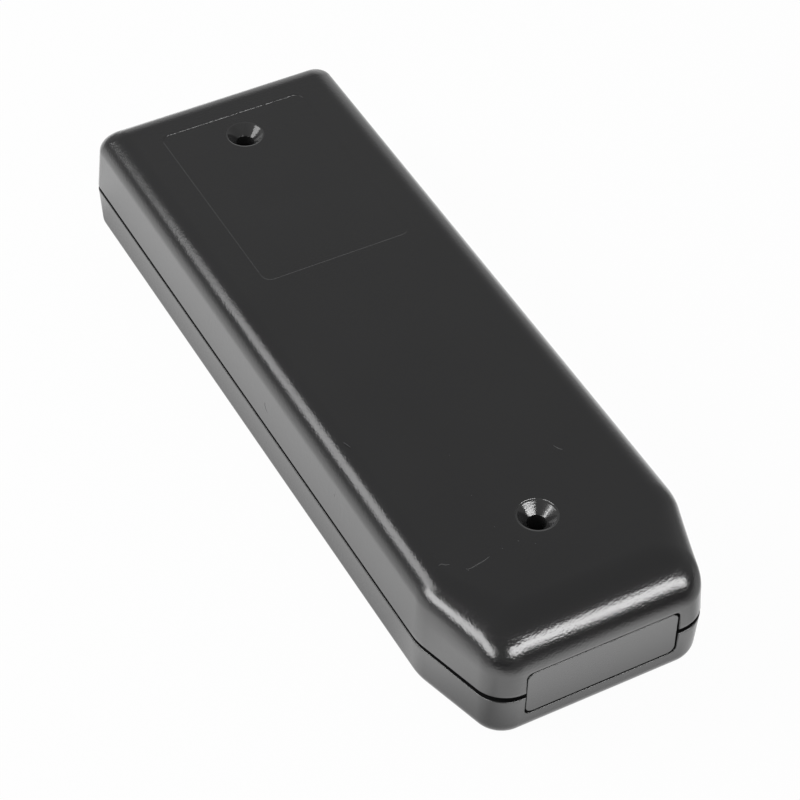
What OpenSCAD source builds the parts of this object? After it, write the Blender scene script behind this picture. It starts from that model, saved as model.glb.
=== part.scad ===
// Handheld electronics enclosure: two moulded shells with a tapered nose and a captured end panel.
// Millimetres. X runs across the body, the nose points to -Y, and the front face lies on z = 0.

/* [Body] */
// Width of the body at the parting line
body_w = 60; // [56:0.5:66]
// Length of the body at the parting line
body_l = 176; // [165:1:190]
// Width of the nose, between the sharp corners of the plan
nose_w = 48; // [46:0.2:50]
// Length of the tapered nose
taper_l = 21.4; // [18:0.2:26]
// Radius of the upright corners at the tail
tail_r = 3.2; // [2.8:0.1:5]
// Radius where the sides turn into the taper
shoulder_r = 14.5; // [10:0.5:20]
// Radius of the upright corners at the nose
nose_r = 7.4; // [6:0.1:8]
// Wall thickness of both shells
wall = 2.2; // [2:0.1:2.5]

/* [Rear shell] */
// Height of the rear shell above the parting plane
rear_h = 16.4; // [16:0.2:20]
// Radius round the edge of the rear face
rear_edge_r = 6.2; // [5:0.1:7]
// Radius round the edge of the rear face at the nose, which the tapers' edges grow to
rear_nose_r = 10.6; // [7:0.1:11]
// Lean of the rear shell's walls, in degrees
rear_draft = 3.6; // [2:0.1:5]

/* [Front shell] */
// Height of the front shell below the parting plane
front_h = 12.4; // [12:0.2:15]
// Radius round the edge of the front face
front_edge_r = 3.5; // [3:0.1:5]
// Radius round the edge of the front face at the nose
front_nose_r = 4.2; // [3:0.1:6]
// Lean of the front shell's walls, in degrees
front_draft = 3; // [2:0.1:5]

/* [Parting line] */
// Gap between the two rims, as seen from outside
rim_gap = 0.9; // [0.3:0.05:1]
// How much further the rear rim stands back at the tip of the nose
nose_gap = 0.4; // [0:0.05:0.5]
// Rounding of the rims' outer edges
rim_break = 0.2; // [0.1:0.05:0.3]
// Height of the tongue that stands on the front rim
tongue_h = 1.1; // [0.8:0.1:1.5]
// Clearance between the tongue and its groove
tongue_gap = 0.15; // [0.1:0.05:0.25]

/* [Screws] */
// Distance of the nose screw from the nose end
screw_nose_y = 27.5; // [26:0.5:34]
// Distance of the tail screw from the tail end
screw_tail_y = 18.3; // [16:0.1:24]
// Diameter of the clearance hole for a 3.5 mm self-tapping screw
screw_d = 4; // [3.8:0.1:4.4]
// Diameter of the countersink at the rear face
sink_d = 8.3; // [7.5:0.1:9]
// Angle between the countersink's sides, in degrees
sink_angle = 82; // [80:1:100]
// Diameter of the pilot hole in each pillar
pilot_d = 3; // [2.8:0.1:3.1]
// Diameter of the tubes and pillars that the screws pull together
pillar_d = 8; // [7.6:0.1:9]

/* [End panel] */
// Width of the window in the nose
window_w = 34.8; // [30:0.2:36]
// Height of the window above the parting plane
window_up = 5.9; // [5:0.1:6.5]
// Height of the window below the parting plane
window_down = 6.2; // [5:0.1:6.5]
// Radius of the window's corners
window_r = 1.3; // [1:0.1:2]
// Radius of the panel's corners in the window
panel_r = 1.7; // [1.4:0.1:2.4]
// Gap between the panel and the window's edges
window_gap = 0.27; // [0.2:0.01:0.4]
// How far the panel's flange reaches past the window
flange_lap = 1.9; // [1.6:0.1:2]

/* [Circuit board] */
// Spacing of the board's bosses across the body
board_x = 42; // [36:1:44]
// Spacing of the board's bosses along the body
board_y = 96; // [80:1:104]
// Height of the bosses above the floor of the front shell
board_up = 4; // [3:0.5:6]
// Diameter of the bosses
boss_d = 6; // [5.5:0.1:7]
// Diameter of the pilot holes in the bosses
boss_pilot_d = 2.4; // [2:0.1:2.6]

/* [Mould insert] */
// Width of the rectangle left by the mould insert in the rear face
insert_w = 35; // [30:0.5:38]
// Length of the rectangle
insert_l = 53; // [46:0.5:56]
// Distance of the rectangle from the tail end
insert_tail_y = 11; // [10:0.1:13]
// Depth of the rectangle below the rest of the rear face
insert_depth = 0.1; // [0.06:0.02:0.2]

/* [Hidden] */

fillet_steps = 12;
nose_steps = 3;
cavity_steps = 6;
corner_steps = 9;
shoulder_steps = 5;
sharp_r = 0.3;
ground = [0, 0, front_h];
nose_y = -body_l / 2;
tail_y = body_l / 2;
screws = [nose_y + screw_nose_y, tail_y - screw_tail_y];
rim_setback = rim_gap / 2;
pillar_setback = 0.05;

// The tongue takes the inner part of the wall, and the groove leaves the outer part.
tongue_in = wall - 1;
groove_in = tongue_in - tongue_gap;
groove_h = tongue_h + 0.3;
spigot_d = 5.2;
spigot_h = 1.1;
socket_gap = 0.2;
pilot_depth = 10;
gusset_t = 1.2;
gusset_reach = 2.7;

// The flange stands behind the leaning nose walls, with room for their lean.
flange_t = 1.6;
flange_y = nose_y + wall + 0.85;
panel_setback = 0.4;
panel_y = nose_y + panel_setback;
slot_gap = 0.12;
rib_t = 1.5;
flange_w = window_w + 2 * flange_lap;
flange_up = window_up + flange_lap;
flange_down = window_down + flange_lap;
insert_corner_r = 2;

dark_grey = [0.16, 0.16, 0.165];
panel_grey = [0.18, 0.18, 0.185];

// Corners of the plan at the parting plane, anticlockwise from the right of the nose.
// Each is x, y, its radius and the number of facets round it.
plan = [
    [nose_w / 2, nose_y, nose_r, corner_steps],
    [body_w / 2, nose_y + taper_l, shoulder_r, shoulder_steps],
    [body_w / 2, tail_y, tail_r, corner_steps],
    [-body_w / 2, tail_y, tail_r, corner_steps],
    [-body_w / 2, nose_y + taper_l, shoulder_r, shoulder_steps],
    [-nose_w / 2, nose_y, nose_r, corner_steps]
];

// Corners of a rectangle in the same form, from x0, y0 to x1, y1.
function rectangle(x0, y0, x1, y1, r) =
    [[x1, y0, r, 6], [x1, y1, r, 6], [x0, y1, r, 6], [x0, y0, r, 6]];

// The way out of side i of a convex outline, as a unit vector.
function outward(corners, i) =
    let (n = len(corners), a = corners[(i + n) % n], b = corners[(i + 1 + n) % n])
    [b.y - a.y, a.x - b.x] / norm([b.x - a.x, b.y - a.y]);

// The sharp corners of an outline whose sides have moved inwards, those at the nose by their own distance.
// Each taper runs between a body corner and a nose corner, so its rounding grows along it.
function sharp_corners(corners, inset, nose_inset) =
    let (n = len(corners))
    [
        for (i = [0:n - 1])
            let (before = outward(corners, i - 1), after = outward(corners, i))
            [corners[i].x, corners[i].y]
                - (i == 0 || i == n - 1 ? nose_inset : inset) * (before + after) / (1 + before * after)
    ];

// One corner, rounded with radius r between its two sides.
function corner_arc(p, r, before, after, steps) =
    let (
        centre = p - r * (before + after) / (1 + before * after),
        from = atan2(before.y, before.x),
        turn = acos(before * after)
    )
    [for (i = [0:steps]) centre + r * [cos(from + turn * i / steps), sin(from + turn * i / steps)]];

// All points of an outline whose sides have moved inwards by the inset, and its nose by its own inset.
// The corners lose the start from their radius at once, and shrink more where the inset nears its end.
function outline(corners, inset, nose_inset, start, end, nose_end) =
    let (n = len(corners), sharp = sharp_corners(corners, inset, nose_inset))
    [
        for (i = [0:n - 1])
            let (
                at_nose = i == 0 || i == n - 1,
                full_r = corners[i][2],
                rest = at_nose ? max(full_r, nose_end) - nose_inset : max(full_r, end) - inset,
                r = max(min(full_r - start, rest), sharp_r)
            )
            each corner_arc(sharp[i], r, outward(sharp, i - 1), outward(sharp, i), corners[i][3])
    ];

// The outline of a flat shape, all its sides moved inwards alike.
function flat_outline(corners, inset) = outline(corners, inset, inset, inset, 0, 0);

// How far a leaning wall with a rounded top edge stands back at height z.
function wall_inset(z, h, edge_r, draft) =
    let (turn = h - edge_r, up = min((z - turn) / edge_r, 1))
    up <= sin(draft)
        ? z * tan(draft)
        : (turn + edge_r * sin(draft)) * tan(draft) + edge_r * (cos(draft) - sqrt(1 - up * up));

// Levels of a half shell above the parting plane: the height, the inset of the sides and that of the nose.
// The nose's larger radius starts lower down the wall, so it has some levels of its own.
function dome_levels(h, edge_r, nose_r, draft, inset, edge_break, steps) =
    let (
        low = h - nose_r * (1 - sin(draft)),
        high = h - edge_r * (1 - sin(draft)),
        heights = concat(
            edge_break > 0 ? [rim_setback + edge_break] : [0],
            nose_r > edge_r ? [for (k = [0:nose_steps - 1]) low + (high - low) * k / nose_steps] : [],
            [for (k = [0:steps]) h - edge_r * (1 - sin(draft + (90 - draft) * k / steps))]
        )
    )
    concat(
        edge_break > 0 ? [for (z = [0, rim_setback]) [z, inset + edge_break, inset + edge_break]] : [],
        [
            for (z = heights)
                [z, inset + wall_inset(z, h, edge_r, draft), inset + wall_inset(z, h, nose_r, draft)]
        ]
    );

// A solid through a stack of outlines of the plan, one for each level.
module loft(levels, start) {
    n_levels = len(levels);
    top = levels[n_levels - 1];
    rings = [
        for (level = levels)
            [for (p = outline(plan, level[1], level[2], start, top[1], top[2])) [p.x, p.y, level[0]]]
    ];
    n = len(rings[0]);
    polyhedron(
        points = [for (ring = rings) each ring],
        faces = concat(
            [[for (i = [0:n - 1]) i]],
            [[for (i = [0:n - 1]) n_levels * n - 1 - i]],
            [
                for (j = [0:n_levels - 2])
                    for (i = [0:n - 1])
                        let (a = j * n + i, b = j * n + (i + 1) % n)
                        each [[a, a + n, b + n], [a, b + n, b]]
            ]
        )
    );
}

// The outside of a half shell, standing on the parting plane.
module outer_dome(h, edge_r, nose_r, draft) {
    loft(dome_levels(h, edge_r, nose_r, draft, 0, rim_break, fillet_steps), 0);
}

// The hollow of a half shell. It starts a little below the parting plane, so that it opens the rim.
module inner_dome(h, edge_r, nose_r, draft) {
    below = 1;
    inside_h = h - wall + below;
    foot_inset = wall - below * tan(draft);
    translate([0, 0, -below])
        loft(dome_levels(inside_h, edge_r - wall, nose_r - wall, draft, foot_inset, 0, cavity_steps), wall);
}

// A wall-high ring between two insets of the plan.
module rim_ring(outer_inset, inner_inset, h) {
    linear_extrude(h)
        difference() {
            polygon(flat_outline(plan, outer_inset));
            polygon(flat_outline(plan, inner_inset));
        }
}

// The slice that sets a rim back from the parting plane, and further by the extra at the tip of the nose.
module rim_relief(extra) {
    reach = body_w + 2;
    intersection() {
        translate([0, 0, -1])
            rim_ring(-1, wall + 0.3, 3);
        translate([-reach / 2, 0, 0])
            rotate([90, 0, 90])
                linear_extrude(reach)
                    polygon([
                        [nose_y - 2, -2],
                        [tail_y + 2, -2],
                        [tail_y + 2, rim_setback],
                        [nose_y + taper_l, rim_setback],
                        [nose_y, rim_setback + extra],
                        [nose_y - 2, rim_setback + extra]
                    ]);
    }
}

// Four thin gussets round an upright tube whose foot is at height z, standing down to the parting plane.
module gussets(z, drop) {
    for (a = [45:90:315])
        rotate(a)
            translate([0, gusset_t / 2, 0])
                rotate([90, 0, 0])
                    linear_extrude(gusset_t)
                        polygon([
                            [pillar_d / 2 - 1, z + 1],
                            [pillar_d / 2 - 1, z - drop],
                            [pillar_d / 2 + 0.4, z - drop],
                            [pillar_d / 2 + gusset_reach, z - drop / 3],
                            [pillar_d / 2 + gusset_reach, z + 1]
                        ]);
}

// The brackets and sills that hold the flange of the end panel, standing from the floor to the parting plane.
module panel_slot(h, flange_h) {
    back_y = flange_y + flange_t + slot_gap;
    side_x = flange_w / 2 + slot_gap;
    for (side = [-1, 1]) {
        translate([side * (side_x + rib_t / 2), (nose_y + back_y + rib_t) / 2, h / 2 + 0.5])
            cube([rib_t, back_y + rib_t - nose_y, h - 1], center = true);
        translate([side * (side_x - rib_t / 2), back_y + rib_t / 2, h / 2 + 0.5])
            cube([3 * rib_t, rib_t, h - 1], center = true);
    }
    for (x = [-1:1])
        translate([x * flange_w / 3, (nose_y + back_y + rib_t) / 2, (h + flange_h) / 2 + 0.5])
            cube([rib_t, back_y + rib_t - nose_y, h - flange_h + 1], center = true);
}

// The window for the end panel, cut along Y through the nose wall. Heights count from the parting plane.
module nose_window(gap, r, depth) {
    corners = rectangle(-window_w / 2, -window_down, window_w / 2, window_up, r + gap);
    rotate([90, 0, 0])
        linear_extrude(depth, center = true)
            polygon(flat_outline(corners, gap));
}

// The rectangle that the mould insert left in the rear face, as a shallow recess.
module insert_recess() {
    corners = rectangle(
        -insert_w / 2, tail_y - insert_tail_y - insert_l,
        insert_w / 2, tail_y - insert_tail_y, insert_corner_r
    );
    translate([0, 0, rear_h - insert_depth])
        linear_extrude(1)
            polygon(flat_outline(corners, 0));
}

// One countersunk screw hole, down through the rear face and its tube to the socket at the parting plane.
module screw_hole() {
    sink_slope = tan(sink_angle / 2);
    sink_h = (sink_d - screw_d) / 2 / sink_slope;
    above = 1;
    translate([0, 0, -1])
        cylinder(h = rear_h + 2, d = screw_d, $fn = 64);
    translate([0, 0, rear_h - sink_h])
        cylinder(h = sink_h + above, d1 = screw_d, d2 = sink_d + 2 * above * sink_slope, $fn = 64);
    translate([0, 0, -1])
        cylinder(h = spigot_h + socket_gap + 1, d = spigot_d + 2 * socket_gap, $fn = 64);
}

// Rear half, built standing on the parting plane.
module rear_shell() {
    inside_h = rear_h - wall;
    color(dark_grey)
        translate(ground)
            difference() {
                outer_dome(rear_h, rear_edge_r, rear_nose_r, rear_draft);
                difference() {
                    inner_dome(rear_h, rear_edge_r, rear_nose_r, rear_draft);
                    for (y = screws)
                        translate([0, y, 0]) {
                            translate([0, 0, pillar_setback])
                                cylinder(h = rear_h, d = pillar_d, $fn = 64);
                            gussets(inside_h, 7);
                        }
                    panel_slot(rear_h, flange_up + slot_gap);
                }
                rim_relief(nose_gap);
                translate([0, 0, -1])
                    rim_ring(groove_in, wall + 0.4, groove_h + 1);
                translate([0, nose_y, 0])
                    nose_window(0, window_r, 2 * (wall + 0.6));
                for (y = screws)
                    translate([0, y, 0])
                        screw_hole();
                insert_recess();
            }
}

// Front half, built upside down on the parting plane and turned over.
module front_shell() {
    inside_h = front_h - wall;
    color(dark_grey)
        translate(ground)
            mirror([0, 0, 1])
                difference() {
                    union() {
                        difference() {
                            outer_dome(front_h, front_edge_r, front_nose_r, front_draft);
                            difference() {
                                inner_dome(front_h, front_edge_r, front_nose_r, front_draft);
                                for (y = screws)
                                    translate([0, y, 0]) {
                                        translate([0, 0, pillar_setback])
                                            cylinder(h = front_h, d = pillar_d, $fn = 64);
                                        gussets(inside_h, 6);
                                    }
                                for (x = [-1, 1], y = [-1, 1])
                                    translate([x * board_x / 2, y * board_y / 2, inside_h - board_up])
                                        cylinder(h = board_up + 1, d = boss_d, $fn = 48);
                                panel_slot(front_h, flange_down);
                            }
                            rim_relief(0);
                        }
                        translate([0, 0, -tongue_h])
                            rim_ring(tongue_in, wall, tongue_h + 1);
                        for (y = screws)
                            translate([0, y, -spigot_h])
                                cylinder(h = spigot_h + 1, d = spigot_d, $fn = 64);
                    }
                    translate([0, nose_y, 0])
                        mirror([0, 0, 1])
                            nose_window(0, window_r, 2 * (wall + 0.6));
                    for (y = screws)
                        translate([0, y, -spigot_h - 1])
                            cylinder(h = pilot_depth + spigot_h + 1, d = pilot_d, $fn = 64);
                    for (x = [-1, 1], y = [-1, 1])
                        translate([x * board_x / 2, y * board_y / 2, inside_h - board_up - 1])
                            cylinder(h = board_up + 1.8, d = boss_pilot_d, $fn = 48);
                }
}

// End panel: a flush pad in the window, with a flange behind it that stands in the slots of both shells.
module nose_panel() {
    pad_t = flange_y - panel_y + flange_t / 2;
    color(panel_grey)
        translate(ground)
            union() {
                translate([0, panel_y + pad_t / 2, 0])
                    nose_window(window_gap, panel_r, pad_t);
                translate([0, flange_y + flange_t / 2, (flange_up - flange_down) / 2])
                    cube([flange_w, flange_t, flange_up + flange_down], center = true);
            }
}

front_shell();
rear_shell();
nose_panel();
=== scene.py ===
# %% [markdown]
# # A handheld electronics enclosure
#
# This lesson dresses a moulded plastic housing for a render: two shells that meet at a shadow gap, and a
# small end panel caught between them at the nose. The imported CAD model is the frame. It says where every
# piece is and how the rear shell lifts off, so nothing here needs to be fitted by eye. The lesson builds
# the same three pieces again with finer curves, rounded edges and real plastic finishes, and gives each one
# to its CAD body.

import math

import bpy
import numpy as np
from mathutils import Matrix, Quaternion, Vector


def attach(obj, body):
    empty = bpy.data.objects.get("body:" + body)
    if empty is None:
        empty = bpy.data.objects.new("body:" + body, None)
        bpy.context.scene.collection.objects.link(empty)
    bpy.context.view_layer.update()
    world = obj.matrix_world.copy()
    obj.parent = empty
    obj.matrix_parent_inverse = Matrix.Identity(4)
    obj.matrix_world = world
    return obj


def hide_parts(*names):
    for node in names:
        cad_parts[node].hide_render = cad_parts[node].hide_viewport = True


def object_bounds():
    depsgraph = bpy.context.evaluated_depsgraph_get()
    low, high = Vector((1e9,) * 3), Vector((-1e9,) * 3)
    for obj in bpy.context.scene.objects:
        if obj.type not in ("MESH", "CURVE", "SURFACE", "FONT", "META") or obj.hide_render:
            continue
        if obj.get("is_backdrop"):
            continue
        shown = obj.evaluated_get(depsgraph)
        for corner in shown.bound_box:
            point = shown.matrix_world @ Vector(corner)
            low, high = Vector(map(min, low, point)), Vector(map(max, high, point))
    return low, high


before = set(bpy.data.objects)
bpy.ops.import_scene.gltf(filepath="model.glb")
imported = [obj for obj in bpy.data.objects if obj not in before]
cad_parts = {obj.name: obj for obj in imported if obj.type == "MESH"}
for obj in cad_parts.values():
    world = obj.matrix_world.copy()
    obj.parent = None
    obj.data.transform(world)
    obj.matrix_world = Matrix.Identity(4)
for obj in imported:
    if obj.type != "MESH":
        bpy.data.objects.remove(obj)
cad_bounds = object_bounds()
print("CAD box:", [tuple(round(x, 4) for x in p) for p in cad_bounds])

# %% [markdown]
# ## Sizes
#
# A moulder's drawing gives the plan of the parting line, the height, lean and edge radius of each shell,
# and the gap between the rims. All sizes are in millimetres here. Heights are counted from the parting
# plane, and the helper that makes a mesh turns everything into metres at the end.

# %% Sizes of the housing, in millimetres
MM = 0.001
PARTING_Z = 12.4
BODY_W, BODY_L, NOSE_W, TAPER_L = 60.0, 176.0, 48.0, 21.4
NOSE_Y, TAIL_Y = -BODY_L / 2, BODY_L / 2
WALL = 2.2
SHARP_R = 0.3

REAR = dict(h=16.4, edge_r=6.2, nose_r=10.6, lean=math.radians(3.6))
FRONT = dict(h=12.4, edge_r=3.5, nose_r=4.2, lean=math.radians(3.0))

RIM_SETBACK, NOSE_SETBACK = 0.45, 0.4
RIM_ROUND = 0.22
LAND_IN, TONGUE_IN, TONGUE_H, REBATE_H, TONGUE_EDGE = 1.05, 1.2, 1.1, 1.4, 0.15

# Corners of the plan, anticlockwise from the right of the nose: x, y, radius, steps round the corner, and
# steps along the straight side that follows.
PLAN = [
    (NOSE_W / 2, NOSE_Y, 7.4, 20, 12),
    (BODY_W / 2, NOSE_Y + TAPER_L, 14.5, 10, 1),
    (BODY_W / 2, TAIL_Y, 3.2, 20, 1),
    (-BODY_W / 2, TAIL_Y, 3.2, 20, 1),
    (-BODY_W / 2, NOSE_Y + TAPER_L, 14.5, 10, 12),
    (-NOSE_W / 2, NOSE_Y, 7.4, 20, 12),
]
print("plan", BODY_W, "x", BODY_L, "mm, parting plane at", PARTING_Z, "mm")

# %% [markdown]
# ## Rounded outlines
#
# Every horizontal slice of a shell is the same six-sided outline with round corners, moved inwards. Where
# the top edge is rounded more than the upright corner, a rolling ball keeps the corner's radius up the wall
# and then lets it shrink to almost nothing at the flat face. The two corners of the nose move in further
# than the others, because the top edge has a larger radius there, and so the rounding grows along each
# taper from the body's radius to the nose's. All slices have the same number of points, so they can be
# joined into quads.

# %% Points of one slice


def side_normals(corners):
    """Outward unit normals, the one at index i for the side from corner i to the next."""
    xy = np.array([c[:2] for c in corners], float)
    along = np.roll(xy, -1, axis=0) - xy
    along /= np.linalg.norm(along, axis=1)[:, None]
    return np.stack([along[:, 1], -along[:, 0]], axis=1)


def sharp_corners(corners, side, nose):
    """The corners moved inwards from both their sides, the first and the last one by the nose's distance."""
    normals = side_normals(corners)
    last = len(corners) - 1
    moved = []
    for i, corner in enumerate(corners):
        before, after = normals[i - 1], normals[i]
        inset = nose if i in (0, last) else side
        moved.append(np.array(corner[:2]) - inset * (before + after) / (1 + before @ after))
    return moved


def outline(corners, side, nose, start=0.0, side_end=0.0, nose_end=0.0):
    """All points of a rounded outline moved inwards, anticlockwise."""
    sharp = sharp_corners(corners, side, nose)
    normals = side_normals(sharp)
    count = len(corners)
    arcs = []
    for i, (_, _, full_r, steps, _) in enumerate(corners):
        inset, end = (nose, nose_end) if i in (0, count - 1) else (side, side_end)
        r = max(min(full_r - start, max(full_r, end) - inset), SHARP_R)
        before, after = normals[i - 1], normals[i]
        k = float(before @ after)
        centre = sharp[i] - r * (before + after) / (1 + k)
        turn = math.acos(k) * np.linspace(0, 1, steps + 1) + math.atan2(before[1], before[0])
        arcs.append(centre + r * np.stack([np.cos(turn), np.sin(turn)], axis=1))
    points = []
    for i, arc in enumerate(arcs):
        points.append(arc)
        pieces = corners[i][4]
        goal = arcs[(i + 1) % count][0]
        for step in range(1, pieces):
            points.append((arc[-1] + (goal - arc[-1]) * step / pieces)[None])
    return np.concatenate(points)


def flat_outline(corners, inset):
    """The outline of a flat shape, all its sides moved inwards alike."""
    return outline(corners, inset, inset, inset)


print("points in one slice:", len(outline(PLAN, 0, 0)))

# %% [markdown]
# ## The wall's profile
#
# Moulded walls lean inwards so that the part leaves its mould, here by three or four degrees. The profile
# is a straight leaning line and then a quarter circle. One function gives the distance that the wall stands
# back at a height, and a second lists the heights that are worth a slice.

# %% Inset of the wall at a height


def wall_inset(z, h, edge_r, lean):
    """How far a leaning wall with a rounded top edge stands back at height z."""
    turn = h - edge_r
    up = min((z - turn) / edge_r, 1.0)
    if up <= math.sin(lean):
        return z * math.tan(lean)
    foot = (turn + edge_r * math.sin(lean)) * math.tan(lean)
    return foot + edge_r * (math.cos(lean) - math.sqrt(1 - up * up))


def edge_heights(h, edge_r, nose_r, lean, steps, nose_steps):
    """Heights of the slices up the rounded edges, the nose's larger one first."""
    low = h - nose_r * (1 - math.sin(lean))
    high = h - edge_r * (1 - math.sin(lean))
    heights = []
    if nose_r > edge_r:
        heights += [low + (high - low) * k / nose_steps for k in range(nose_steps)]
    angles = [lean + (math.pi / 2 - lean) * k / steps for k in range(steps + 1)]
    return heights + [h - edge_r * (1 - math.sin(a)) for a in angles]


def dome_slices(h, edge_r, nose_r, lean, steps, nose_steps, inside=0.0, foot=1.6):
    """Slices of a half shell from the foot up, as height, inset of the sides and inset of the nose."""
    top, side_r, front_r = h - inside, edge_r - inside, nose_r - inside
    slices = []
    for z in [foot] + edge_heights(top, side_r, front_r, lean, steps, nose_steps):
        side, nose = (inside + wall_inset(z, top, r, lean) for r in (side_r, front_r))
        slices.append((z, side, nose))
    return slices


EDGE_START = REAR["h"] - REAR["edge_r"]
print("rear edge starts", round(wall_inset(EDGE_START, REAR["h"], REAR["edge_r"], REAR["lean"]), 2), "mm in")

# %% [markdown]
# ## Shader maths as Python
#
# A node tree is easier to read as an expression. The class below wraps one output socket and adds Math
# nodes when wires are added, multiplied or subtracted. Everything else goes through one method that takes
# the node's type, its settings and what its sockets hold.

# %% A wire that does sums


class Wire:
    """An output socket of a node, with arithmetic."""

    def __init__(self, finish, socket):
        self.finish = finish
        self.socket = socket

    def math(self, operation, a, b):
        return self.finish.node("ShaderNodeMath", {"operation": operation}, {0: a, 1: b})

    def __add__(self, other):
        return self.math("ADD", self, other)

    def __sub__(self, other):
        return self.math("SUBTRACT", self, other)

    def __mul__(self, other):
        return self.math("MULTIPLY", self, other)


class Finish:
    """The nodes of a material or of the world, under construction."""

    def __init__(self, owner):
        self.owner = owner
        owner.use_nodes = True
        self.tree = owner.node_tree
        self.tree.nodes.clear()

    def node(self, kind, settings=None, sockets=None, out=0):
        """Adds one node with its settings and what its sockets hold, and returns one of its outputs."""
        made = self.tree.nodes.new(kind)
        for key, value in (settings or {}).items():
            setattr(made, key, value)
        for key, value in (sockets or {}).items():
            if isinstance(value, Wire):
                self.tree.links.new(value.socket, made.inputs[key])
            else:
                made.inputs[key].default_value = value
        return Wire(self, made.outputs[out])

    def ease(self, value, low, high, at_low, at_high):
        """A soft change from one level to another while the value goes from low to high."""
        ends = {"Value": value, "From Min": low, "From Max": high, "To Min": at_low, "To Max": at_high}
        return self.node("ShaderNodeMapRange", {"interpolation_type": "SMOOTHSTEP"}, ends)

    def surface(self, shader, kind="ShaderNodeOutputMaterial"):
        """Sends a shader to the output and returns the material or the world."""
        output = self.tree.nodes.new(kind)
        self.tree.links.new(shader.socket, output.inputs["Surface"])
        return self.owner


print("wires ready")

# %% [markdown]
# ## The plastics
#
# The shells are moulded in one black plastic. The mould is spark eroded outside, which leaves a fine grain
# that breaks up the edges of every highlight, and polished where the screws and the board sit. A real grain
# is a relief of a few hundredths of a millimetre, far too fine for geometry, so a bump from a fine noise
# stands for it. The end panel and the inside have a smoother face.

# %% Three plastic finishes
CLOUDS_PER_METRE = 38.0
CLOUDY_GLOSS = 0.08


def moulded_plastic(name, dark, light, roughness, grain, grain_size):
    """Black plastic with a cloudy tint, uneven gloss, and a bump of this height and size in millimetres."""
    finish = Finish(bpy.data.materials.new(name))
    place = finish.node("ShaderNodeTexCoord", out="Object")
    clouds = {"Vector": place, "Scale": CLOUDS_PER_METRE, "Detail": 3.0}
    cloud = finish.node("ShaderNodeTexNoise", None, clouds)
    grains = {"Vector": place, "Scale": 1000 / grain_size, "Detail": 1.0}
    pits = finish.node("ShaderNodeTexNoise", None, grains)
    tints = {0: cloud, 6: (*dark, 1), 7: (*light, 1)}
    colour = finish.node("ShaderNodeMix", {"data_type": "RGBA"}, tints, out=2)
    bump = finish.node("ShaderNodeBump", None, {"Height": pits, "Strength": 1.0, "Distance": grain * MM})
    gloss = (cloud - 0.5) * CLOUDY_GLOSS + roughness
    sockets = {"Base Color": colour, "Roughness": gloss, "Normal": bump, "IOR": 1.5}
    return finish.surface(finish.node("ShaderNodeBsdfPrincipled", None, sockets))


GRAINED = moulded_plastic(
    "grained_black", dark=(0.011, 0.011, 0.0115), light=(0.015, 0.015, 0.0155),
    roughness=0.175, grain=0.042, grain_size=0.42,
)
SMOOTH = moulded_plastic(
    "smooth_black", dark=(0.028, 0.028, 0.0285), light=(0.032, 0.032, 0.0325),
    roughness=0.2, grain=0.006, grain_size=0.6,
)
# Painted light: the polished faces have a lighter base than the grained outside, which lifts the shaded
# countersinks and bores.
POLISHED_PAINTED_LIGHTER = moulded_plastic(
    "polished_black_painted_lighter", dark=(0.032, 0.032, 0.0325), light=(0.036, 0.036, 0.0365),
    roughness=0.12, grain=0.012, grain_size=0.3,
)
print("finishes:", GRAINED.name, SMOOTH.name, POLISHED_PAINTED_LIGHTER.name)

# %% [markdown]
# ## Closed skins from rings
#
# A stack of slices becomes a closed skin: quads between neighbouring rings and a flat face on each end. A
# lathe turns the same idea round a screw's axis, and a prism pushes a flat polygon along an axis. Each one
# is a plain closed solid, so the exact Boolean can add it to a shell or cut it away, and the cut takes the
# tool's finish.

# %% Skins, lathes and prisms


def to_frame(points, up):
    """Millimetres from the parting plane to metres in the row frame. The front shell is built downwards."""
    points = np.array(points, float)
    points[:, 2] = PARTING_Z + up * points[:, 2]
    return points * MM


def closed_skin(name, rings, finish, up=1):
    """A closed object through rings of equal length, with a face on each end."""
    count = len(rings[0])
    vertices = to_frame(np.concatenate(rings), up)
    faces = [list(range(count))[::-1], list(range((len(rings) - 1) * count, len(rings) * count))]
    for level in range(len(rings) - 1):
        low, high = level * count, (level + 1) * count
        for i in range(count):
            j = (i + 1) % count
            faces.append([low + i, low + j, high + j, high + i])
    mesh = bpy.data.meshes.new(name)
    mesh.from_pydata(vertices.tolist(), [], faces)
    mesh.materials.append(finish)
    if signed_volume(mesh) < 0:
        mesh.flip_normals()
    piece = bpy.data.objects.new(name, mesh)
    bpy.context.scene.collection.objects.link(piece)
    return piece


def signed_volume(mesh):
    """Positive when the faces look outwards."""
    mesh.calc_loop_triangles()
    corners = np.array([v.co for v in mesh.vertices], float)
    triangles = np.array([t.vertices for t in mesh.loop_triangles])
    a, b, c = corners[triangles[:, 0]], corners[triangles[:, 1]], corners[triangles[:, 2]]
    return float(np.einsum("ij,ij->i", a, np.cross(b, c)).sum()) / 6


def lathe(name, x, y, profile, finish, up=1, steps=96):
    """A turned solid about an upright axis, from radius and height pairs."""
    turn = 2 * math.pi * np.arange(steps) / steps
    rings = []
    for r, z in profile:
        rings.append(np.stack([x + r * np.cos(turn), y + r * np.sin(turn), np.full(steps, float(z))], axis=1))
    return closed_skin(name, rings, finish, up)


def prism(name, polygon, axis, low, high, finish, up=1):
    """A polygon of points across the axis, pushed from low to high along it."""
    rings = []
    for place in (low, high):
        ring = np.insert(np.array(polygon, float), axis, place, axis=1)
        rings.append(ring)
    return closed_skin(name, rings, finish, up)


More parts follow.
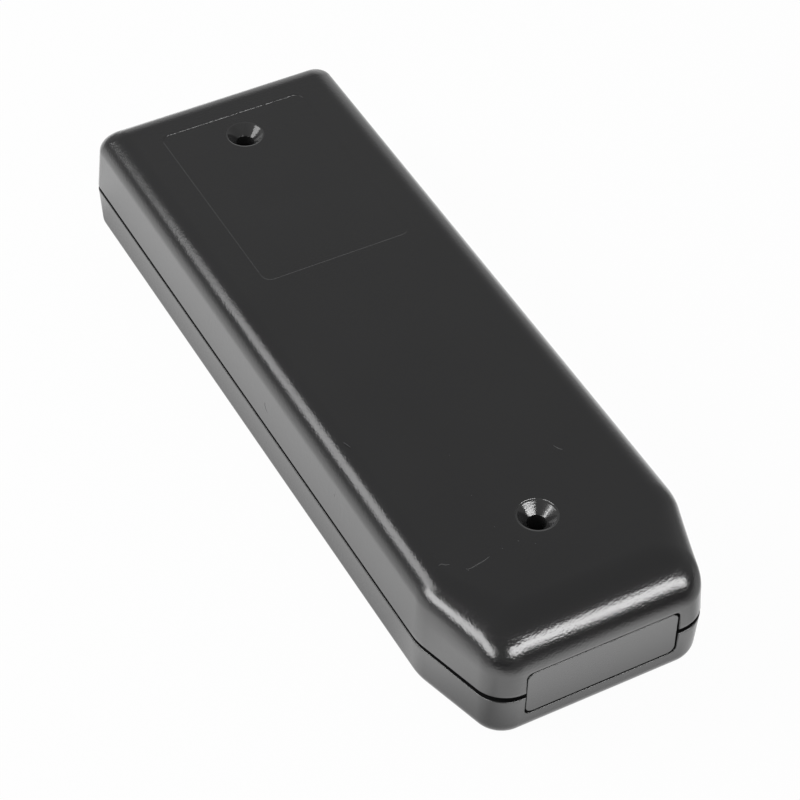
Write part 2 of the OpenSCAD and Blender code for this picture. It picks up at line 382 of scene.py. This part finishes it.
def work(piece, tool, operation):
    """Adds a tool to the piece or cuts it away, and then throws the tool away."""
    step = piece.modifiers.new("work", "BOOLEAN")
    step.operation = operation
    step.solver = "EXACT"
    step.material_mode = "TRANSFER"
    step.object = tool
    bpy.context.view_layer.update()
    made = bpy.data.meshes.new_from_object(piece.evaluated_get(bpy.context.evaluated_depsgraph_get()))
    piece.modifiers.clear()
    spent = [piece.data, tool.data]
    piece.data = made
    bpy.data.objects.remove(tool)
    for mesh in spent:
        bpy.data.meshes.remove(mesh)


print("tools ready")

# %% [markdown]
# ## One skin for a whole shell
#
# A shell is a single closed wall. Its skin runs from the flat face over the rounded edge, down the leaning
# wall, round the rim and up the inside to the ceiling. The rims don't quite meet: a shadow gap runs all
# round. It opens towards the nose, where the rear moulding has drawn up a little, and most of all at the
# corners of the nose. Behind the gap the front shell's tongue stands inside the rear shell's rebate, so
# that no light gets through.

# %% Rings of a shell
CORNER_X, CORNER_FADE, WINDOW_CLOSES = 22, 4.5, 0.35


def rim_setback(points, extra):
    """How far a rim stands back from the parting plane at these places in plan."""
    towards_nose = np.clip((NOSE_Y + TAPER_L - points[:, 1]) / TAPER_L, 0, 1)
    towards_window = np.clip((CORNER_X - np.abs(points[:, 0])) / CORNER_FADE, 0, 1)
    return RIM_SETBACK + extra * towards_nose * (1 - WINDOW_CLOSES * towards_window)


def ring(z, side, nose, start, side_end, nose_end, rim=None):
    """One slice with its height, or with its height above the rim that has this much extra at the nose."""
    points = outline(PLAN, side, nose, start, side_end, nose_end)
    height = z + (np.zeros(len(points)) if rim is None else rim_setback(points, rim))
    return np.column_stack([points, height])


def flat_ring(z, inset, rim=None):
    return ring(z, inset, inset, inset, 0, 0, rim)


def outside_rings(shape, rim):
    """From the flat face down to the rim, and round the rim's outer edge."""
    slices = dome_slices(**shape, steps=28, nose_steps=8)
    ends = slices[-1][1:]
    rings = [ring(z, side, nose, 0, *ends) for z, side, nose in reversed(slices)]
    foot = (RIM_SETBACK + RIM_ROUND) * math.tan(shape["lean"])
    for k in range(5):
        a = math.pi / 2 * k / 4
        inset = foot + RIM_ROUND * (1 - math.cos(a))
        rings.append(ring(RIM_ROUND * (1 - math.sin(a)), inset, inset, 0, *ends, rim))
    return rings


def inside_rings(shape, foot):
    """Up the inside from the rim to the ceiling."""
    slices = dome_slices(**shape, steps=12, nose_steps=4, inside=WALL, foot=foot)
    ends = slices[-1][1:]
    return [ring(z, side, nose, WALL, *ends) for z, side, nose in slices]


print("slices of the rear shell's outside:", len(outside_rings(REAR, NOSE_SETBACK)))

# %% The two walls
rear = closed_skin(
    "rear_shell_shown",
    outside_rings(REAR, NOSE_SETBACK)
    + [flat_ring(0, LAND_IN, NOSE_SETBACK), flat_ring(REBATE_H, LAND_IN)]
    + inside_rings(REAR, REBATE_H),
    GRAINED,
)
front = closed_skin(
    "front_shell_shown",
    outside_rings(FRONT, 0)
    + [flat_ring(0, TONGUE_IN, 0), flat_ring(TONGUE_EDGE - TONGUE_H, TONGUE_IN)]
    + [flat_ring(-TONGUE_H, inset) for inset in (TONGUE_IN + TONGUE_EDGE, WALL - TONGUE_EDGE)]
    + [flat_ring(TONGUE_EDGE - TONGUE_H, WALL)]
    + inside_rings(FRONT, 0.0),
    GRAINED,
    up=-1,
)
print("faces:", len(rear.data.polygons), "and", len(front.data.polygons))

# %% [markdown]
# ## Inside: screw tubes, gussets and the panel's brackets
#
# Two self-tapping screws hold the housing together. Each passes down a tube of the rear shell into a pillar
# of the front shell, and four thin gussets steady every tube at its root. At the nose, brackets and sills
# hold the flange of the end panel. All of these are straight-sided solids that are rooted in the wall and
# joined to it.

# %% Tubes, gussets and brackets
SCREWS = [NOSE_Y + 27.5, TAIL_Y - 18.3]
TUBE_R, GUSSET_REACH, GUSSET_T = 4.0, 2.7, 1.2
WINDOW_W, WINDOW_UP, WINDOW_DOWN, WINDOW_R = 34.8, 5.9, 6.2, 1.3
PANEL_R, PANEL_GAP, FLANGE_LAP, FLANGE_T = 1.7, 0.27, 1.9, 1.6
PANEL_Y = NOSE_Y + 0.4
FLANGE_Y = NOSE_Y + WALL + 0.85
SLOT_GAP, RIB = 0.12, 1.5
SLOT_BACK = FLANGE_Y + FLANGE_T + SLOT_GAP


def gusset(shell, y, angle, root, drop, up):
    """One thin web between a tube and the shell's floor, at an angle about the tube's axis."""
    side = [
        (TUBE_R - 1, root + 1),
        (TUBE_R - 1, root - drop),
        (TUBE_R + 0.4, root - drop),
        (TUBE_R + GUSSET_REACH, root - drop / 3),
        (TUBE_R + GUSSET_REACH, root + 1),
    ]
    out = np.array([math.cos(angle), math.sin(angle)])
    across = np.array([-math.sin(angle), math.cos(angle)])
    rings = []
    for w in (-GUSSET_T / 2, GUSSET_T / 2):
        rings.append(np.array([[*(np.array([0, y]) + out * r + across * w), z] for r, z in side]))
    work(shell, closed_skin("gusset", rings, SMOOTH, up), "UNION")


def wall_middle(shape, z, x):
    """Where the middle of the nose wall stands along Y, at a height and a distance from the centre line."""
    radii = (shape["edge_r"], shape["nose_r"])
    insets = [WALL / 2 + wall_inset(z, shape["h"], r, shape["lean"]) for r in radii]
    ends = [WALL / 2 + wall_inset(shape["h"], shape["h"], r, shape["lean"]) for r in radii]
    points = outline(PLAN, *insets, WALL / 2, *ends)
    points = points[points[:, 1] < NOSE_Y + TAPER_L]
    points = points[np.argsort(points[:, 0])]
    return float(np.interp(x, points[:, 0], points[:, 1]))


def under_nose(shape, foot, first_y, last_y, x):
    """Side view of a web rooted in the middle of the rounded nose wall, between two places along Y."""
    heights = np.linspace(foot, shape["h"], 60)
    middle = [wall_middle(shape, z, x) for z in heights]
    places = np.linspace(max(first_y, middle[0]), last_y, 16)
    tops = np.minimum(np.interp(places, middle, heights), shape["h"] - WALL / 2)
    edge = [(y, z) for y, z in zip(places, tops) if z > foot + 0.01]
    return [(places[0], foot)] + edge + [(last_y, foot)]


def web(shell, shape, foot, first_y, x0, x1, up):
    side = under_nose(shape, foot, first_y, SLOT_BACK + RIB, max(abs(x0), abs(x1)))
    work(shell, prism("web", side, 0, min(x0, x1), max(x0, x1), SMOOTH, up), "UNION")


def fit_out(shell, shape, drop, sill, up):
    """Adds everything that stands inside one shell."""
    root = shape["h"] - WALL
    for y in SCREWS:
        work(shell, lathe("tube", 0, y, [(TUBE_R, 0.05), (TUBE_R, root + 1)], SMOOTH, up), "UNION")
        for quarter in range(4):
            gusset(shell, y, math.radians(45 + 90 * quarter), root, drop, up)
    slot_x = WINDOW_W / 2 + FLANGE_LAP + SLOT_GAP
    for side in (-1, 1):
        web(shell, shape, 1.0, NOSE_Y, side * slot_x, side * (slot_x + RIB), up)
        web(shell, shape, 1.0, SLOT_BACK, side * (slot_x - 2 * RIB), side * (slot_x + RIB), up)
    for place in (-1, 0, 1):
        middle = place * (WINDOW_W + 2 * FLANGE_LAP) / 3
        web(shell, shape, sill, NOSE_Y, middle - RIB / 2, middle + RIB / 2, up)


fit_out(rear, REAR, drop=7, sill=WINDOW_UP + FLANGE_LAP + SLOT_GAP, up=1)
fit_out(front, FRONT, drop=6, sill=WINDOW_DOWN + FLANGE_LAP, up=-1)
print("fitted out:", len(rear.data.polygons), len(front.data.polygons))

# %% Board bosses and spigots
BOSS_X, BOSS_Y, BOSS_R, BOSS_H, BOSS_HOLE_R = 21.0, 48.0, 3.0, 4, 1.2
SPIGOT_R, PILOT_R = 2.6, 1.5
FRONT_ROOT = FRONT["h"] - WALL
for x in (-BOSS_X, BOSS_X):
    for y in (-BOSS_Y, BOSS_Y):
        boss = [(BOSS_R, FRONT_ROOT - BOSS_H), (BOSS_R, FRONT_ROOT + 1)]
        work(front, lathe("boss", x, y, boss, SMOOTH, -1, 64), "UNION")
        hole = [(BOSS_HOLE_R, FRONT_ROOT - BOSS_H - 1), (BOSS_HOLE_R, FRONT_ROOT + 0.8)]
        work(front, lathe("boss_hole", x, y, hole, POLISHED_PAINTED_LIGHTER, -1, 48), "DIFFERENCE")
for y in SCREWS:
    spigot = [(SPIGOT_R - 0.15, -1.1), (SPIGOT_R, -0.95), (SPIGOT_R, 1.0)]
    work(front, lathe("spigot", 0, y, spigot, SMOOTH, -1, 64), "UNION")
    work(front, lathe("pilot", 0, y, [(PILOT_R, -3.0), (PILOT_R, 10.0)], POLISHED_PAINTED_LIGHTER, -1, 64), "DIFFERENCE")
print("front shell faces:", len(front.data.polygons))

# %% [markdown]
# ## Countersinks, the window and the insert's step
#
# Everything that opens a shell is cut with a solid of the right form. The countersink is turned: a shallow
# step where the core pin met the mould, the cone, and the clearance hole down the tube. Its faces are
# polished, so the cutter carries that finish. The window's cutter flares at the leaning face, which rounds
# the window's edge. The rectangle on the rear face is the mark of a mould insert that stood a tenth of a
# millimetre proud, so the face inside it lies a little deeper. Only the step at its edge shows: a gentle
# shoulder and a steeper face below it.

# %% Screw holes of the rear shell
TOP = REAR["h"]
HOLE_R, SOCKET_R, SOCKET_TOP = 2.0, 2.8, 1.3
SINK = [
    (4.44, TOP + 1),
    (4.44, TOP),
    (4.36, TOP - 0.03),
    (4.32, TOP - 0.09),
    (4.22, TOP - 0.13),
    (4.02, TOP - 0.14),
    (3.93, TOP - 0.2),
    (HOLE_R + 0.08, TOP - 2.32),
    (HOLE_R, TOP - 2.44),
    (HOLE_R, SOCKET_TOP),
    (SOCKET_R, SOCKET_TOP),
    (SOCKET_R, -1.0),
]
# The polished cutter's lighter base is painted light inside the countersinks and bores.
for y in SCREWS:
    work(rear, lathe("screw_hole", 0, y, SINK, POLISHED_PAINTED_LIGHTER), "DIFFERENCE")
print("countersinks at", SCREWS)

# %% The window in the nose


def rectangle(x0, y0, x1, y1, r, steps=10):
    """Corners of a rectangle in the form that outline takes."""
    return [(x1, y0, r, steps, 1), (x1, y1, r, steps, 1), (x0, y1, r, steps, 1), (x0, y0, r, steps, 1)]


def window_cutter(lean, up):
    """A plug for the window in one shell, with height counted away from the parting plane."""
    low, high = (-WINDOW_DOWN, WINDOW_UP) if up > 0 else (-WINDOW_UP, WINDOW_DOWN)
    corners = rectangle(-WINDOW_W / 2, low, WINDOW_W / 2, high, WINDOW_R)
    depths = [(-1.5, 0.14), (0, 0.14), (0.02, 0.08), (0.06, 0.03), (0.14, 0.0), (2.9, 0.0)]
    rings = []
    for depth, flare in depths:
        points = flat_outline(corners, -flare)
        face = NOSE_Y + np.clip(points[:, 1], 0, None) * math.tan(lean)
        rings.append(np.column_stack([points[:, 0], face + depth, points[:, 1]]))
    return closed_skin("window", rings, SMOOTH, up)


work(rear, window_cutter(REAR["lean"], 1), "DIFFERENCE")
work(front, window_cutter(FRONT["lean"], -1), "DIFFERENCE")
print("window", WINDOW_W, "x", WINDOW_UP + WINDOW_DOWN, "mm")

# %% The step of the mould insert
INSERT_W, INSERT_L, INSERT_R = 35.0, 53.0, 2.0
INSERT_END = TAIL_Y - 11.0
INSERT_DEPTH = 0.1
insert = rectangle(-INSERT_W / 2, INSERT_END - INSERT_L, INSERT_W / 2, INSERT_END, INSERT_R)
step_rings = []
for height, flare in [(1, 0.18), (0, 0.18), (-0.03, 0.17), (-0.47, 0.05), (-0.9, 0.02), (-1.0, -0.03)]:
    points = flat_outline(insert, -flare)
    level = TOP + height * INSERT_DEPTH
    step_rings.append(np.column_stack([points, np.full(len(points), level)]))
work(rear, closed_skin("insert", step_rings, GRAINED), "DIFFERENCE")
print("rear shell faces:", len(rear.data.polygons))

# %% [markdown]
# ## The end panel
#
# The panel is one moulding: a pad that lies flush in the window, with softened edges, and a flange behind
# it that stands in the slots of both shells. Its skin is again a stack of rings, this time along Y.

# %% The nose panel


def upright_ring(corners, y, inset):
    points = flat_outline(corners, inset)
    return np.column_stack([points[:, 0], np.full(len(points), y), points[:, 1]])


pad = rectangle(-WINDOW_W / 2, -WINDOW_DOWN, WINDOW_W / 2, WINDOW_UP, PANEL_R + PANEL_GAP)
flange_x = WINDOW_W / 2 + FLANGE_LAP
flange = rectangle(-flange_x, -WINDOW_DOWN - FLANGE_LAP, flange_x, WINDOW_UP + FLANGE_LAP, 0.5)
EDGE = 0.2
panel_rings = []
for k in range(5):
    a = math.pi / 2 * k / 4
    depth, inset = EDGE * (1 - math.sin(a)), EDGE * (1 - math.cos(a))
    panel_rings.append(upright_ring(pad, PANEL_Y + depth, PANEL_GAP + inset))
panel_rings = panel_rings[::-1] + [upright_ring(pad, FLANGE_Y, PANEL_GAP), upright_ring(flange, FLANGE_Y, 0)]
panel_rings.append(upright_ring(flange, FLANGE_Y + FLANGE_T, 0))
panel = closed_skin("nose_panel_shown", panel_rings, SMOOTH)
print("panel faces:", len(panel.data.polygons))

# %% [markdown]
# ## Marks of handling
#
# The rear face carries a few fine scratches and specks, and the left wall two small nicks. A scratch in
# plastic throws up a small burr that glints, so each one is a thin ridge a few hundredths of a millimetre
# high that thins out at both ends. The specks are low domes. They belong to the rear shell, so they are
# joined to its mesh.

# %% Scratches and specks
MARKED = moulded_plastic(
    "scuffed_black", dark=(0.06, 0.06, 0.062), light=(0.09, 0.09, 0.092),
    roughness=0.4, grain=0.004, grain_size=0.3,
)
marks_vertices, marks_faces = [], []


def scratch(points, width, height, normal=(0, 0, 1)):
    """A ridge along a line of points on the surface, thin at both ends."""
    path = np.array(points, float)
    normal = np.array(normal, float)
    first = len(marks_vertices)
    for i, place in enumerate(path):
        along = path[min(i + 1, len(path) - 1)] - path[max(i - 1, 0)]
        side = np.cross(normal, along / np.linalg.norm(along))
        swell = 0.15 + 0.85 * math.sin(math.pi * (i + 0.5) / len(path))
        for reach, rise in ((-0.5, -0.01), (0, 1), (0.5, -0.01)):
            marks_vertices.append(place + side * reach * width * swell + normal * rise * height * swell)
        if i:
            last = first + 3 * (i - 1)
            marks_faces.append([last, last + 1, last + 4, last + 3])
            marks_faces.append([last + 1, last + 2, last + 5, last + 4])


def speck(x, y, size):
    """A low dome on the rear face."""
    first = len(marks_vertices)
    for k in range(8):
        a = math.pi * k / 4
        marks_vertices.append(np.array([x + size * math.cos(a), y + size * math.sin(a), TOP - 0.005]))
    marks_vertices.append(np.array([x, y, TOP + size * 0.35]))
    marks_faces.extend([[first + k, first + (k + 1) % 8, first + 8] for k in range(8)])


for points, width, height in [
    ([(-19.24, -66.67), (-18.13, -66.67), (-16.66, -66.42), (-15.18, -66.18), (-13.81, -65.72)], 0.22, 0.05),
    ([(-23.73, -63.21), (-23.02, -63.14), (-22.46, -63.71), (-21.71, -63.96)], 0.2, 0.05),
    ([(12.44, -45.78), (12.91, -46.96), (13.49, -47.57)], 0.2, 0.05),
    ([(-24.82, -25.67), (-24.54, -26.44), (-24.22, -27.55)], 0.16, 0.03),
]:
    scratch([(x, y, TOP) for x, y in points], width, height)
LEFT = (-1, 0, 0.06)
scratch([(-29.61, 0.82, 6.2), (-29.65, 0.5, 5.7), (-29.68, 0.0, 5.1), (-29.72, -0.9, 4.5)], 0.3, 0.06, LEFT)
scratch([(-29.48, -30.5, 8.15), (-29.5, -30.8, 7.9), (-29.52, -31.1, 7.65)], 0.3, 0.06, LEFT)
for x, y, size in [
    (-19.3, -66.5, 0.13), (-19.2, -66.9, 0.12), (-7.58, -38.6, 0.09), (-9.0, -50.1, 0.09),
    (-9.06, -59.4, 0.1), (-10.53, -65.1, 0.11), (-6.78, -64.8, 0.13), (-4.16, -66.9, 0.12),
]:
    speck(x, y, size)
marks_mesh = bpy.data.meshes.new("marks")
marks_mesh.from_pydata(to_frame(np.array(marks_vertices), 1).tolist(), [], marks_faces)
marks_mesh.materials.append(MARKED)
marks = bpy.data.objects.new("marks", marks_mesh)
bpy.context.scene.collection.objects.link(marks)
print("marks:", len(marks_faces), "faces")

# %% [markdown]
# ## Smooth shading and the moving bodies
#
# Faces that meet at a small angle are shaded as one curve, and the large flat faces set the normals at
# their borders, so that a flat wall stays flat right up to its rounded edge. Then each piece takes the
# place of its CAD node and rides on the node's body: the rear shell lifts off, and the panel stays in the
# front shell.

# %% Shade the pieces and hand them to the bodies
SHARPER_THAN = math.radians(34)


def shade(piece):
    """Smooth shading that stops at sharp edges and lets the flat faces set the normals at their borders."""
    mesh = piece.data
    mesh.shade_smooth()
    mesh.set_sharp_from_angle(angle=SHARPER_THAN)
    weigh = piece.modifiers.new("flat faces first", "WEIGHTED_NORMAL")
    weigh.keep_sharp = True
    weigh.weight = 80


def join(piece, extra):
    """Makes the extra mesh part of the piece."""
    with bpy.context.temp_override(active_object=piece, selected_editable_objects=[piece, extra]):
        bpy.ops.object.join()


join(rear, marks)
for piece, node, body, slot in [
    (rear, "rear_shell", "lid", "shell_plastic"),
    (front, "front_shell", "base", "shell_plastic"),
    (panel, "nose_panel", "base", "panel_plastic"),
]:
    shade(piece)
    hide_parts(node)
    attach(piece, body)
    print(piece.name, "rides on", body, "with", len(piece.data.polygons), "faces")

# %% [markdown]
# ## The set
#
# The housing lies on a white sheet. Its leaning walls look down at that sheet and mirror it, which is why
# the sides of a black object read as mid grey, while the flat rear face mirrors a dark ceiling. The sheet
# is white to the camera and keeps a soft shadow. In reflections it is a glow of painted light and shade:
# a painted shadow, darkest close to the housing, painted light, brightest beside the nose, and fading
# towards its far parts. The levels below are given by place, in metres from the housing's middle, and
# were set against the tones of the photograph.

# %% The white sheet
WHITE = (1, 1, 1, 1)
PAPER = (0.82, 0.82, 0.82, 1)
SEEN_WHITE, PAINTED_GLOW_SHARE = 0.97, 0.95


def painted_sheet_light(finish):
    """The painted shadow and painted light of the sheet in the housing's gloss, from place to place."""
    ease = finish.ease
    place = finish.node("ShaderNodeNewGeometry", out="Position")
    x, y = (finish.node("ShaderNodeSeparateXYZ", None, {0: place}, out=axis) for axis in (0, 1))
    beside = finish.node("ShaderNodeMath", {"operation": "ABSOLUTE"}, {0: x}) - BODY_W / 2 * MM
    beyond = finish.node("ShaderNodeMath", {"operation": "ABSOLUTE"}, {0: y}) - BODY_L / 2 * MM
    away = finish.node("ShaderNodeMath", {"operation": "MAXIMUM"}, {0: beside, 1: beyond})
    # Painted shadow: the sheet's reflection darkens close to the housing.
    painted_contact_shadow = ease(away, -0.004, 0.014, 0.36, 1.0)
    # Painted light: bright pools beside the nose and to the left and right of the housing.
    painted_light_near_nose = ease(y, -0.07, -0.048, 1.7, 0.0) * ease(x, -0.095, -0.055, 0.1, 1.0)
    left = (ease(y, -0.07, -0.048, 1.0, 1.75) + painted_light_near_nose) * ease(x, -0.23, -0.08, 0.45, 1.0)
    right = ease(y - x * 0.55, -0.115, -0.07, 0.45, 1.45) * ease(y, 0.05, 0.15, 1.0, 0.62)
    right = right + ease(y, -0.1, -0.07, 0.42, 0.0)
    share = ease(x, 0.022, 0.05, 0.0, 1.0)
    return painted_contact_shadow * (left + (right - left) * share) * ease(y, -0.148, -0.108, 0.2, 1.0)


def sheet_finish():
    finish = Finish(bpy.data.materials.new("white_sheet"))
    seen = finish.node("ShaderNodeLightPath", out="Is Camera Ray")
    mirrored = finish.node("ShaderNodeLightPath", out="Is Glossy Ray")
    paper = finish.node("ShaderNodeBsdfDiffuse", None, {"Color": PAPER})
    glow = finish.node("ShaderNodeEmission", None, {"Color": WHITE, "Strength": 1.0})
    # In the housing's gloss the sheet is a glow that carries the painted shadow and painted light.
    painted_reflection = finish.node("ShaderNodeEmission", None, {"Color": WHITE, "Strength": painted_sheet_light(finish)})
    to_camera = finish.node("ShaderNodeMixShader", None, {0: seen * SEEN_WHITE, 1: paper, 2: glow})
    shares = {0: mirrored * PAINTED_GLOW_SHARE, 1: to_camera, 2: painted_reflection}
    return finish.surface(finish.node("ShaderNodeMixShader", None, shares))


sheet_mesh = bpy.data.meshes.new("sheet")
SHEET = 4.0
sheet_corners = [(-SHEET, -SHEET, 0), (SHEET, -SHEET, 0), (SHEET, SHEET, 0), (-SHEET, SHEET, 0)]
sheet_mesh.from_pydata(sheet_corners, [], [(0, 1, 2, 3)])
sheet_mesh.materials.append(sheet_finish())
sheet = bpy.data.objects.new("sheet", sheet_mesh)
bpy.context.scene.collection.objects.link(sheet)
sheet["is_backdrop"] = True
print("sheet of", 2 * SHEET, "m")

# %% [markdown]
# ## Softboxes
#
# Each bright line in the photograph runs along a rounded edge, where the edge mirrors a lamp. The slope of
# the surface there says how high the lamp stands, and the line's length and width say how large it looks.
# Three soft rectangles stand low in front, at the left and further round at the left. The first two show in
# the gloss alone, so that the black stays deep.

# %% Softboxes
AIM_HEIGHT = 0.02


def softbox(name, bearing, height, width, tall, roll, distance, level, plain=False):
    """A soft rectangular light. Bearing, height, sizes and roll are in degrees as seen from the housing."""
    around, above = math.radians(bearing), math.radians(height)
    way = Vector((math.cos(above) * math.cos(around), math.cos(above) * math.sin(around), math.sin(above)))
    lamp = bpy.data.lights.new(name, "AREA")
    lamp.shape = "RECTANGLE"
    lamp.size = 2 * distance * math.tan(math.radians(width / 2))
    lamp.size_y = 2 * distance * math.tan(math.radians(tall / 2))
    lamp.energy = level * math.pi * lamp.size * lamp.size_y
    holder = bpy.data.objects.new(name, lamp)
    holder.location = way * distance + Vector((0, 0, AIM_HEIGHT))
    spin = Quaternion((0, 0, 1), math.radians(roll))
    holder.rotation_euler = (way.to_track_quat("Z", "Y") @ spin).to_euler()
    holder.visible_camera = False
    holder.visible_diffuse = plain
    bpy.context.scene.collection.objects.link(holder)
    holder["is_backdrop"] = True
    return holder


lights = [
    softbox("front_box", bearing=-73, height=21, width=66, tall=18.2, roll=-13, distance=2.0, level=16.5),
    softbox("left_box", bearing=190.5, height=15.8, width=52, tall=22, roll=-4, distance=0.72, level=11.5),
    softbox(
        "left_far_box", bearing=149, height=31.5, width=34, tall=24, roll=9, distance=0.77, level=6.0,
        plain=True,
    ),
]
print("lights:", [light.name for light in lights])

# %% [markdown]
# ## The room
#
# Black gloss mirrors the whole room, so the room can't be left black: it is a dim grey, with a pale wall
# behind the set that only the far rounded edges mirror. The wall is a soft patch about one bearing, and it
# fades out with height. Where the camera looks past the sheet it sees an even pale grey.

# %% A dim room with a pale wall
ROOM_LEVEL, WALL_LEVEL, WALL_BEARING = 0.61, 0.65, math.radians(59)
world = bpy.data.worlds.new("room")
room = Finish(world)
way = room.node("ShaderNodeTexCoord", out="Generated")
to_wall = (math.cos(WALL_BEARING), math.sin(WALL_BEARING), 0)
towards = room.node("ShaderNodeVectorMath", {"operation": "DOT_PRODUCT"}, {0: way, 1: to_wall}, out="Value")
height = room.node("ShaderNodeSeparateXYZ", None, {0: way}, out=2)
pale = room.ease(towards, 0.86, 0.93, 0.0, WALL_LEVEL) * room.ease(height, 0.2, 0.62, 1.0, 0.0)
dim = room.node("ShaderNodeBackground", None, {"Strength": pale + ROOM_LEVEL})
even = room.node("ShaderNodeBackground", None, {"Strength": 1.0})
seen = room.node("ShaderNodeLightPath", out="Is Camera Ray")
room.surface(room.node("ShaderNodeMixShader", None, {0: seen, 1: dim, 2: even}), "ShaderNodeOutputWorld")
bpy.context.scene.world = world
bpy.context.scene.view_settings.view_transform = "Standard"
print("room level", ROOM_LEVEL)

# %% [markdown]
# ## The camera
#
# The camera's place, aim and lens were worked out from the housing's own edges in the photograph, so that
# the render lies over it line by line. It looks down from the front left with a long lens.

# %% Camera
EYE = Vector((-207.126, -367.883, 434.822)) * MM
RIGHT = Vector((0.87929584, -0.47577563, 0.02182623))
DOWN = Vector((-0.32558227, -0.63390217, -0.70154417))
AHEAD = Vector((0.34761331, 0.60975863, -0.71229165))
lens = bpy.data.cameras.new("camera")
lens.lens = 125.4036
lens.sensor_width = 36
lens.clip_start = 0.01
lens.clip_end = 50
camera = bpy.data.objects.new("camera", lens)
camera.matrix_world = Matrix.Translation(EYE) @ Matrix((RIGHT, -DOWN, -AHEAD)).transposed().to_4x4()
bpy.context.scene.collection.objects.link(camera)
bpy.context.scene.camera = camera
print("camera at", [round(v, 3) for v in camera.location], "m")

# %% [markdown]
# ## Sizes
#
# The last cell prints the box of the CAD model and the box of everything that is shown, so that the two
# can be compared.

# %% Sizes and the end
shown_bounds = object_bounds()
for label, box in (("CAD", cad_bounds), ("shown", shown_bounds)):
    print(label, [[round(v, 4) for v in p] for p in box])
